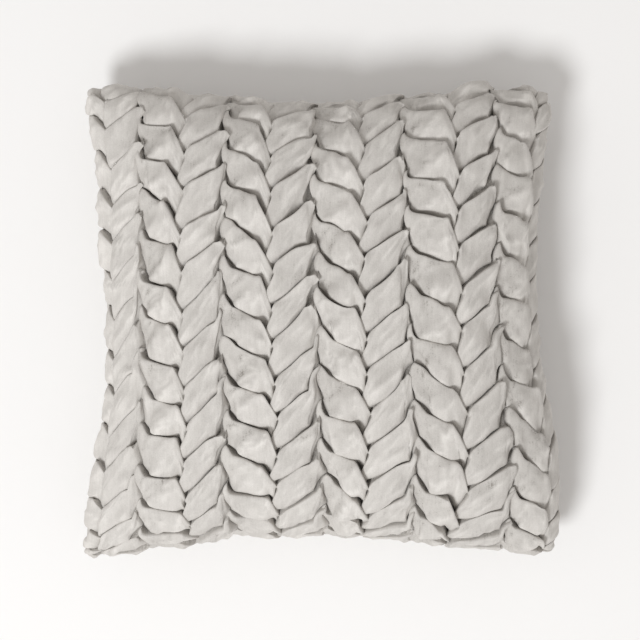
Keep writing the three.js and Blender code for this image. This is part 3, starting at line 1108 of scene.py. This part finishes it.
    def line_rows(self, line: int, fold: int) -> np.ndarray:
        """Shapes a stitched line's stretch from one crevice up to the next.

        Args:
            line: The line's number.
            fold: The crevice at its foot.

        Returns:
            Its points, each with its distances along the cloth and its height over the crown, in mm.
        """
        low, high = (np.array(self.lattice.stitch(line, number)) for number in (fold, fold - 1))
        share = np.array(LINE_SHARES)
        place = low + (high - low) * share[:, None]
        place[:, 0] += self.lattice.swing(line, share, high[1] - low[1]) + self.line_aside
        outermost = line in (0, len(self.lattice.lines) - 1)
        depth = np.full(len(share), 0.0 if outermost else -self.line_depth)
        # a stitched line is painted with the crevice shade all along
        return np.column_stack([place, depth, np.full(len(share), self.crevice_painted_shade), np.zeros(len(share))])

    def grid(self) -> np.ndarray:
        """Lays the whole front out.

        Returns:
            Rows from the bottom seam to the top one, of stations from left to right. Each has its distances
            along the cloth and its height over the crown in mm, its painted shade and random tone, and how
            free it is.
        """
        bands = []
        for fold in range(self.lattice.fold_count, -1, -1):
            parts = []
            for column in range(len(self.lattice.lines) - 1):
                parts.append(self.line_rows(column, fold)[:, None, :])
                parts.append(self.leaf_rows(column, fold))
            parts.append(self.line_rows(len(self.lattice.lines) - 1, fold)[:, None, :])
            bands.append(np.concatenate(parts, axis=1))
        top = bands[-1][:1].copy()
        for column in range(len(self.lattice.lines)):
            place = column * (len(SLASH_WAY) + 1)
            top[0, place, :2] = self.lattice.stitch(column, -1)
            if column < len(self.lattice.lines) - 1:
                points = self.crevice(column, -1)["points"]
                top[0, place + 1:place + 1 + len(SLASH_WAY), :2] = points
        return np.concatenate([*bands, top], axis=0)

    def place(self, grid: np.ndarray) -> np.ndarray:
        """Puts points of the cloth on the crown.

        Args:
            grid: Their distances along the cloth and their heights over the crown, in mm, as grid gives them.

        Returns:
            The points, in mm.
        """
        half = self.crown.half_cloth
        rows, stations = np.arange(grid.shape[0])[:, None], np.arange(grid.shape[1])[None, :]
        inside = []
        for distance, count in ((grid[..., 0], stations), (grid[..., 1], rows)):
            least = self.edge_spacing * count - half
            most = half - self.edge_spacing * (count.size - 1 - count)
            inside.append(np.clip(distance, least, most))
        across, up = self.crown.angle_at(inside[0]), self.crown.angle_at(inside[1])
        to_seam = RIGHT_ANGLE - np.maximum(np.abs(across), np.abs(up))
        raised = grid[..., 2] * ease(0, self.seam_fade, to_seam)
        points = self.crown.point(across, up) + self.crown.normal(across, up) * raised[..., None]
        return self.edge_forms.bulge(points, up)

    def creases(self, rows: int, stations: int) -> np.ndarray:
        """Says how crisp the cloth is folded along each row and each station.

        Args:
            rows: How many rows there are.
            stations: How many stations there are.

        Returns:
            The crispness along every row, then along every station, from 0 to 1.
        """
        along_rows, along_stations = np.zeros(rows), np.zeros(stations)
        along_rows[LIP_ROW::len(LEAF_ROWS)] = self.lip_crease
        step = len(SLASH_WAY) + 1
        along_stations[1::step] = self.edge_crease
        along_stations[step - 1::step] = self.edge_crease
        along_rows[[0, -1]], along_stations[[0, -1]] = 1.0, 1.0
        return np.concatenate([along_rows, along_stations])

    def seam_loop(self, count: int) -> np.ndarray:
        """Reads the seam all round.

        Args:
            count: How many points to read.

        Returns:
            The points in mm, going round from the lower right corner.
        """
        side = np.linspace(-1, 1, count // 4, endpoint=False)
        one = np.ones_like(side)
        a = np.concatenate([one, -side, -one, side]) * RIGHT_ANGLE
        u = np.concatenate([side, one, -side, -one]) * RIGHT_ANGLE
        return self.crown.point(a, u)

    def underside_ring(self, seam: np.ndarray, degrees: float) -> np.ndarray:
        """Lays a ring of the underside, between the flat patch that it stands on and the seam.

        Args:
            seam: The seam's points, in mm.
            degrees: The ring's angle, 0 on the flat patch and 90 at the seam.

        Returns:
            The ring's points.
        """
        angle = math.radians(degrees)
        patch = seam[:, :2] * self.contact_share
        flat = seam[:, :2] - patch
        z = self.floor_height + (self.crown.seam_height - self.floor_height) * (1 - math.cos(angle))
        return np.column_stack([patch + flat * math.sin(angle), np.full(len(seam), z)])

    def lay(self, mesh: bmesh.types.BMesh, grid: np.ndarray, points: np.ndarray) -> list[bmesh.types.BMVert]:
        """Lays the front's cloth into a mesh, with how crisp its folds are.

        Args:
            mesh: The mesh to add to.
            grid: The front's layout, with its painted shade and random tone and how free the cloth is.
            points: The same points on the crown, in mm.

        Returns:
            The cloth's edge, going round from the lower right corner.
        """
        rows, stations = points.shape[:2]
        crisp = self.creases(rows, stations)
        crease = mesh.edges.layers.float.new("crease_edge")
        # a layer for the painted shade and random tone, and one for how free the cloth is
        tone_and_painted_shade, free = mesh.verts.layers.float.new("tone_and_painted_shade"), mesh.verts.layers.float.new("free")
        verts = [[mesh.verts.new(points[r, c] * MM) for c in range(stations)] for r in range(rows)]
        for r, c in np.ndindex(rows, stations):
            verts[r][c][tone_and_painted_shade], verts[r][c][free] = grid[r, c, 3], grid[r, c, 4]
        for r, c in np.ndindex(rows - 1, stations - 1):
            mesh.faces.new((verts[r][c], verts[r][c + 1], verts[r + 1][c + 1], verts[r + 1][c]))
        for r, c in np.ndindex(rows, stations - 1):
            mesh.edges.get((verts[r][c], verts[r][c + 1]))[crease] = crisp[r]
        for r, c in np.ndindex(rows - 1, stations):
            mesh.edges.get((verts[r][c], verts[r + 1][c]))[crease] = crisp[rows + c]
        right, left = [row[-1] for row in verts], [row[0] for row in verts]
        return right + verts[-1][-2::-1] + left[-2::-1] + verts[0][1:-1]

    def build(self) -> bpy.types.Object:
        """Makes the piece's mesh and finishes it with one level of subdivision and its wrinkles.

        Returns:
            The piece.
        """
        grid = self.grid()
        points = self.place(grid)
        points = self.settle(points)
        mesh = bmesh.new()
        rim = self.lay(mesh, grid, points)
        seam = np.concatenate([points[:, -1], points[-1, -2::-1], points[-2::-1, 0], points[0, 1:-1]])
        seam[:, 2] = self.crown.seam_height
        self.close_below(mesh, rim, seam)
        bmesh.ops.remove_doubles(mesh, verts=rim, dist=self.weld * MM)
        piece = as_piece(mesh, self.name)
        subdivision = piece.modifiers.new("fine", "SUBSURF")
        subdivision.levels = subdivision.render_levels = 1
        bpy.context.view_layer.objects.active = piece
        piece.select_set(True)
        bpy.ops.object.modifier_apply(modifier=subdivision.name)
        piece.select_set(False)
        self.wrinkle(piece)
        return piece

    def wrinkle(self, piece: bpy.types.Object) -> None:
        """Presses fine wrinkles and pinched creases into the cloth, along its outward directions, and adds
        their painted highlights and shade to the colour attribute.

        Args:
            piece: The finished front.
        """
        count = len(piece.data.vertices)
        points, normals = np.empty(count * 3), np.empty(count * 3)
        piece.data.vertices.foreach_get("co", points)
        piece.data.vertex_normals.foreach_get("vector", normals)
        points, normals = points.reshape(-1, 3) / MM, normals.reshape(-1, 3)
        crests = self.wrinkles.crests(points)
        free = np.empty(count)
        piece.data.attributes["free"].data.foreach_get("value", free)
        rise, crease_painted_light = self.crumple.read(points[:, :2])
        moved = points + normals * ((self.wrinkles.height * crests + rise) * free)[:, None]
        piece.data.vertices.foreach_set("co", (moved * MM).ravel())
        # painted highlight on wrinkle crests and shade in their troughs, with the creases' painted shade and
        # light, kept out of the painted crevice shade
        tone_and_painted_shade = piece.data.attributes["tone_and_painted_shade"]
        painted_shades = np.empty(count)
        tone_and_painted_shade.data.foreach_get("value", painted_shades)
        painted_crest_light = self.wrinkles.pale * (crests - self.wrinkles.pale_above)
        turned = painted_crest_light + crease_painted_light * np.clip(self.painted_crease_gain * free, 0, 1)
        tone_and_painted_shade.data.foreach_set("value", painted_shades + turned * ease(*self.crevice_shade_fade, painted_shades))
        piece.data.update()

    def settle(self, points: np.ndarray) -> np.ndarray:
        """Lets the cloth between the stitches find its own creases, by Cloth simulation.

        Args:
            points: The front's points, in mm, row by row.

        Returns:
            The points after the cloth has settled.
        """
        way = self.settling
        inside = tuple(slice(way.margin, size - way.margin) for size in points.shape[:2])
        part = points[inside]
        rows, stations = part.shape[:2]
        row, station = np.indices((rows, stations)).reshape(2, -1)
        at_edge = (row == 0) | (row == rows - 1) | (station == 0) | (station == stations - 1)
        in_leaf = (row + way.margin) % len(LEAF_ROWS)
        in_column = (station + way.margin) % (len(SLASH_WAY) + 1)
        held = (in_leaf <= 1) | (in_leaf >= LIP_ROW + 1) | (in_column == 0) | at_edge
        soft = (in_leaf == 2) | (in_leaf == LIP_ROW) | (in_column == 1) | (in_column == len(SLASH_WAY))
        move = self.after_settling(part, held, soft & ~held) - part
        far = np.linalg.norm(move, axis=2, keepdims=True)
        LOG.info("settled: median %.2f, nine in ten %.2f, most %.2f mm", *np.percentile(far, (50, 90, 100)))
        settled = points.copy()
        settled[inside] = part + move * way.cap * np.tanh(far / way.cap) / np.maximum(far, TINY)
        return settled

    def after_settling(self, part: np.ndarray, held: np.ndarray, soft: np.ndarray) -> np.ndarray:
        """Runs the cloth simulation.

        Args:
            part: The points of the part of the front that can settle, in mm, row by row.
            held: Which of them are stitched fast.
            soft: Which of them are held a little less.

        Returns:
            The points after the last frame.
        """
        way = self.settling
        rows, stations = part.shape[:2]
        number = np.arange(rows * stations).reshape(rows, stations)
        faces = np.stack([number[:-1, :-1], number[:-1, 1:], number[1:, 1:], number[1:, :-1]], axis=-1)
        data = bpy.data.meshes.new("settling")
        data.from_pydata((part.reshape(-1, 3) * MM).tolist(), [], faces.reshape(-1, 4).tolist())
        sheet = bpy.data.objects.new("settling", data)
        bpy.context.scene.collection.objects.link(sheet)
        group = sheet.vertex_groups.new(name="stitched")
        group.add(np.flatnonzero(held).tolist(), 1.0, "REPLACE")
        group.add(np.flatnonzero(soft).tolist(), way.lip_hold, "REPLACE")
        cloth = sheet.modifiers.new("settling", "CLOTH")
        cloth.point_cache.frame_start, cloth.point_cache.frame_end = 1, way.frames
        settings = cloth.settings
        settings.vertex_group_mass = group.name
        settings.quality = way.steps
        settings.mass = way.mass
        settings.tension_stiffness = settings.compression_stiffness = way.stretch
        settings.shear_stiffness = way.shear
        settings.bending_stiffness = way.bending
        settings.shrink_min = -way.growth
        settings.use_pressure = True
        settings.uniform_pressure_force = way.pressure
        settings.effector_weights.gravity = 0
        cloth.collision_settings.use_collision = False
        for moment in range(1, way.frames + 1):
            bpy.context.scene.frame_set(moment)
        after = np.empty(rows * stations * 3)
        settled = sheet.evaluated_get(bpy.context.evaluated_depsgraph_get())
        settled.data.vertices.foreach_get("co", after)
        bpy.data.objects.remove(sheet)
        bpy.context.scene.frame_set(1)
        return after.reshape(rows, stations, 3) / MM

    def close_below(self, mesh: bmesh.types.BMesh, rim: list[bmesh.types.BMVert], seam: np.ndarray) -> None:
        """Closes the piece under the seam with rings and a flat patch.

        Args:
            mesh: The mesh to add to.
            rim: The front's edge, going round from the lower right corner.
            seam: The same points in mm, all at the seam's height.
        """
        picked = np.linspace(0, len(seam), self.underside_points, endpoint=False).astype(int)
        rings = []
        for degrees in self.underside_angles:
            ring = self.underside_ring(seam[picked], degrees)
            rings.append([mesh.verts.new(point * MM) for point in ring])
        ends = [*picked, len(rim)]
        for number in range(len(picked)):
            after = (number + 1) % len(picked)
            middle = (ends[number] + ends[number + 1]) // 2
            for place in range(ends[number], ends[number + 1]):
                inner = number if place < middle else after
                mesh.faces.new((rim[place], rings[0][inner], rim[(place + 1) % len(rim)]))
            mesh.faces.new((rim[middle % len(rim)], rings[0][number], rings[0][after]))
        join_rings(mesh, rings, self.floor_height * MM)


@dataclass
class BackPanel:
    """The plain cut of velvet that closes the back: a thin dish sewn to the front all round, in mm."""

    front: SmockedFront
    thickness: float = 1.5
    points_round: int = 480
    angles: tuple[float, ...] = (86.5, 84.5, 82, 79, 75, 70, 64, 57, 50, 42, 33, 24, 15, 7)
    pucker_height: float = 0.9
    pucker_count: int = 118
    pucker_drifts: tuple[tuple[int, float], ...] = ((7, 2.2), (17, 1.4))
    pucker_level: float = 0.6
    pucker_angles: tuple[float, float] = (50, 84)
    swell_count: int = 11
    swell_start: float = 1.0
    name: str = "plain_back"

    def outer(self, seam: np.ndarray) -> list[np.ndarray]:
        """Lays the panel's outer rings, with the puckers that its seam draws.

        Args:
            seam: The seam's points, in mm.

        Returns:
            The rings, from the seam to the middle of the back.
        """
        rings = []
        around = np.linspace(0, 2 * math.pi, len(seam), endpoint=False)
        phase = around * self.pucker_count
        for count, size in self.pucker_drifts:
            phase = phase + size * np.sin(around * count)
        swell = np.sin(around * self.swell_count + self.swell_start)
        wave = np.sin(phase) * (self.pucker_level + (1 - self.pucker_level) * swell)
        for degrees in self.angles:
            ring = self.front.underside_ring(seam, degrees)
            ring[:, 2] -= self.front.floor_height * math.cos(math.radians(degrees))
            fade = float(ease(*self.pucker_angles, degrees))
            out = ring[:, :2] / np.linalg.norm(ring[:, :2], axis=1, keepdims=True)
            ring[:, :2] += out * (self.pucker_height * fade * (wave - 1))[:, None]
            rings.append(ring)
        return rings

    def build(self) -> bpy.types.Object:
        """Makes the panel's mesh, smooths it and gives it its thickness.

        Returns:
            The piece.
        """
        seam = self.front.seam_loop(self.points_round)
        mesh = bmesh.new()
        rings = [[mesh.verts.new(point * MM) for point in ring] for ring in self.outer(seam)]
        join_rings(mesh, rings, 0.0)
        piece = as_piece(mesh, self.name)
        wall = piece.modifiers.new("wall", "SOLIDIFY")
        wall.thickness = self.thickness * MM
        wall.offset = -1
        return piece


def linear(hex_colour: str) -> tuple[float, float, float, float]:
    """Turns an sRGB hex colour into linear light.

    Args:
        hex_colour: Six hex digits.

    Returns:
        Red, green, blue and 1.
    """
    parts = [int(hex_colour[place:place + 2], 16) / 255 for place in (0, 2, 4)]
    parts = [p / 12.92 if p <= 0.04045 else ((p + 0.055) / 1.055) ** 2.4 for p in parts]
    return parts[0], parts[1], parts[2], 1.0


def add_node(
    tree: bpy.types.NodeTree, kind: str, settings: dict[str, object], links: dict[int | str, object],
) -> bpy.types.Node:
    """Adds a node to a material.

    Args:
        tree: The material's nodes.
        kind: The node's type.
        settings: Its own settings, by name.
        links: What each input gets, by its name or number: a number, a colour or another node's output.

    Returns:
        The node.
    """
    node = tree.nodes.new(kind)
    for name, value in settings.items():
        setattr(node, name, value)
    for name, value in links.items():
        socket = node.inputs[name]
        if isinstance(value, bpy.types.NodeSocket):
            tree.links.new(value, socket)
        else:
            socket.default_value = value
    return node


@dataclass(frozen=True)
class Velvet:
    """A cut-pile velvet of matt polyester, with the sizes of its marks in metres."""

    name: str
    # ramp colours, darkest first: the painted crevice shade, the darker and paler colours that painted facet
    # shade and light run between, and the palest, for crushed pile and painted highlights
    crevice_shade_colour: str = "8C8781"
    dark: str = "B8B4AF"
    mid: str = "C3BFBA"
    pale: str = "CCC8C3"
    crushed_and_painted_highlight: str = "D7D3CE"
    roughness: float = 0.82
    refraction: float = 1.54
    sheen: float = 0.35
    sheen_roughness: float = 0.4
    sheen_colour: str = "F4F1EC"
    blotch: float = 0.013
    streak_width: float = 0.0017
    streak_length: float = 0.014
    pile: float = 0.0011  # real pile is some 0.2 mm thick and is drawn this coarse to show at all
    pile_height: float = 0.0004
    relief_height: float = 0.0008
    blotch_weight: float = 0.45
    streak_weight: float = 0.4
    pile_weight: float = 0.55
    relief_strength: float = 0.6
    pile_strength: float = 0.5
    # where the painted shade attribute's range falls on the ramp
    painted_shade_span: tuple[float, float] = (0.26, 0.74)
    shades: tuple[float, ...] = (0.04, 0.22, 0.48, 0.72, 0.98)

    def marks(self, tree: bpy.types.NodeTree) -> tuple[bpy.types.NodeSocket, ...]:
        """Draws the marks in the pile.

        Args:
            tree: The material's nodes.

        Returns:
            The strength of the blotches that wear leaves, of the streaks in them and of the tufts of pile.
        """
        place = add_node(tree, "ShaderNodeTexCoord", {}, {}).outputs["Object"]
        streaks = (1 / self.streak_width, 1 / self.streak_length, 1 / self.streak_length)
        mapping = add_node(tree, "ShaderNodeMapping", {}, {"Vector": place, "Scale": streaks})
        return tuple(
            add_node(
                tree, "ShaderNodeTexNoise", {},
                {"Vector": where, "Scale": scale, "Detail": detail, "Roughness": rough, "Distortion": bent},
            ).outputs["Fac"]
            for where, scale, detail, rough, bent in (
                (place, 1 / self.blotch, 4.0, 0.62, 0.7),
                (mapping.outputs["Vector"], 1.0, 2.0, 0.5, 0.0),
                (place, 1 / self.pile, 1.0, 0.5, 0.0),
            )
        )

    def shade(self, tree: bpy.types.NodeTree, marks: Sequence[bpy.types.NodeSocket]) -> bpy.types.NodeSocket:
        """Puts the marks on the painted shade that the mesh's attribute carries.

        Args:
            tree: The material's nodes.
            marks: The strengths of the marks.

        Returns:
            The shade, from 0, dark, to 1, pale.
        """
        # the painted shade and random tone that the mesh carries
        tone_and_painted_shade = add_node(tree, "ShaderNodeAttribute", {"attribute_name": "tone_and_painted_shade"}, {}).outputs["Fac"]
        low, high = self.painted_shade_span
        shade = add_node(
            tree, "ShaderNodeMapRange", {"clamp": False},
            {"Value": tone_and_painted_shade, "From Min": -1.0, "From Max": 1.0, "To Min": low, "To Max": high},
        ).outputs["Result"]
        for mark, weight in zip(marks, (self.blotch_weight, self.streak_weight, self.pile_weight)):
            lifted = add_node(tree, "ShaderNodeMath", {"operation": "SUBTRACT"}, {0: mark, 1: 0.5})
            sums = {0: lifted.outputs["Value"], 1: weight, 2: shade}
            shade = add_node(tree, "ShaderNodeMath", {"operation": "MULTIPLY_ADD"}, sums).outputs["Value"]
        return shade

    def build(self) -> bpy.types.Material:
        """Makes the material: its colour follows the painted shade, painted highlights and random tone in the
        mesh's attribute.

        Returns:
            The material.
        """
        material = bpy.data.materials.new(self.name)
        material.use_nodes = True
        tree = material.node_tree
        shader = tree.nodes["Principled BSDF"]
        shader.inputs["Roughness"].default_value = self.roughness
        shader.inputs["IOR"].default_value = self.refraction
        shader.inputs["Sheen Weight"].default_value = self.sheen
        shader.inputs["Sheen Roughness"].default_value = self.sheen_roughness
        shader.inputs["Sheen Tint"].default_value = linear(self.sheen_colour)
        marks = self.marks(tree)
        ramp = add_node(tree, "ShaderNodeValToRGB", {}, {"Fac": self.shade(tree, marks)})
        colours = zip(self.shades, (self.crevice_shade_colour, self.dark, self.mid, self.pale, self.crushed_and_painted_highlight))
        elements = ramp.color_ramp.elements
        while len(elements) < len(self.shades):
            elements.new(0.5)
        for element, (position, colour) in zip(elements, colours):
            element.position, element.color = position, linear(colour)
        tree.links.new(ramp.outputs["Color"], shader.inputs["Base Color"])
        blotch, _, pile = marks
        relief = add_node(
            tree, "ShaderNodeBump", {},
            {"Height": blotch, "Distance": self.relief_height, "Strength": self.relief_strength},
        ).outputs["Normal"]
        fuzz = add_node(
            tree, "ShaderNodeBump", {},
            {"Height": pile, "Distance": self.pile_height, "Strength": self.pile_strength, "Normal": relief},
        ).outputs["Normal"]
        tree.links.new(fuzz, shader.inputs["Normal"])
        return material


@dataclass
class Studio:
    """The floor, the light and the camera, in metres."""

    camera_height: float = 2.2
    view_height: float = 0.05
    view_width: float = 0.608
    sensor: float = 36.0
    floor_size: float = 6.0
    floor_colour: str = "EFEEED"
    floor_roughness: float = 0.9
    light_place: tuple[float, float, float] = (-1.75, -2.35, 4.0)
    light_size: float = 1.5
    light_power: float = 156.0
    light_colour: str = "FBFDFF"
    sky: float = 0.6
    sky_colour: str = "FFFCF9"

    def build(self) -> None:
        """Makes them."""
        bpy.ops.mesh.primitive_plane_add(size=self.floor_size, location=(0, 0, 0))
        floor = bpy.context.object
        floor.name = "floor"
        material = bpy.data.materials.new("matt_paper")
        material.use_nodes = True
        shader = material.node_tree.nodes["Principled BSDF"]
        shader.inputs["Base Color"].default_value = linear(self.floor_colour)
        shader.inputs["Roughness"].default_value = self.floor_roughness
        floor.data.materials.append(material)
        data = bpy.data.cameras.new("camera")
        data.sensor_width = self.sensor
        data.lens = self.sensor * (self.camera_height - self.view_height) / self.view_width
        camera = bpy.data.objects.new("camera", data)
        camera.location = (0, 0, self.camera_height)
        bpy.context.scene.collection.objects.link(camera)
        bpy.context.scene.camera = camera
        world = bpy.data.worlds.new("studio")
        bpy.context.scene.world = world
        world.use_nodes = True
        world.node_tree.nodes["Background"].inputs["Color"].default_value = linear(self.sky_colour)
        world.node_tree.nodes["Background"].inputs["Strength"].default_value = self.sky
        light = bpy.data.lights.new("softbox", "AREA")
        light.shape = "DISK"
        light.size = self.light_size
        light.energy = self.light_power
        light.color = linear(self.light_colour)[:3]
        lamp = bpy.data.objects.new("softbox", light)
        lamp.location = self.light_place
        lamp.rotation_mode = "QUATERNION"
        lamp.rotation_quaternion = lamp.location.to_track_quat("Z", "Y")
        bpy.context.scene.collection.objects.link(lamp)
        bpy.context.scene.view_settings.view_transform = "Standard"


def main() -> None:
    """Builds the cushion and its setting."""
    logging.basicConfig(level=logging.INFO, format="%(message)s")
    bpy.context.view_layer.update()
    bpy.ops.object.select_all(action="DESELECT")
    crown = Crown()
    front = SmockedFront(crown, Lattice(crown))
    piece = front.build()
    piece.data.materials.append(Velvet("smocked_velvet").build())
    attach(piece, "root")
    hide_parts("smocked_cushion")
    LOG.info("%s: %d faces", piece.name, len(piece.data.polygons))
    panel = BackPanel(front)
    back = panel.build()
    back.data.materials.append(Velvet("plain_velvet").build())
    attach(back, "root")
    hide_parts("back_panel")
    LOG.info("%s: %d faces", back.name, len(back.data.polygons))
    Studio().build()


if __name__ == "__main__":
    main()
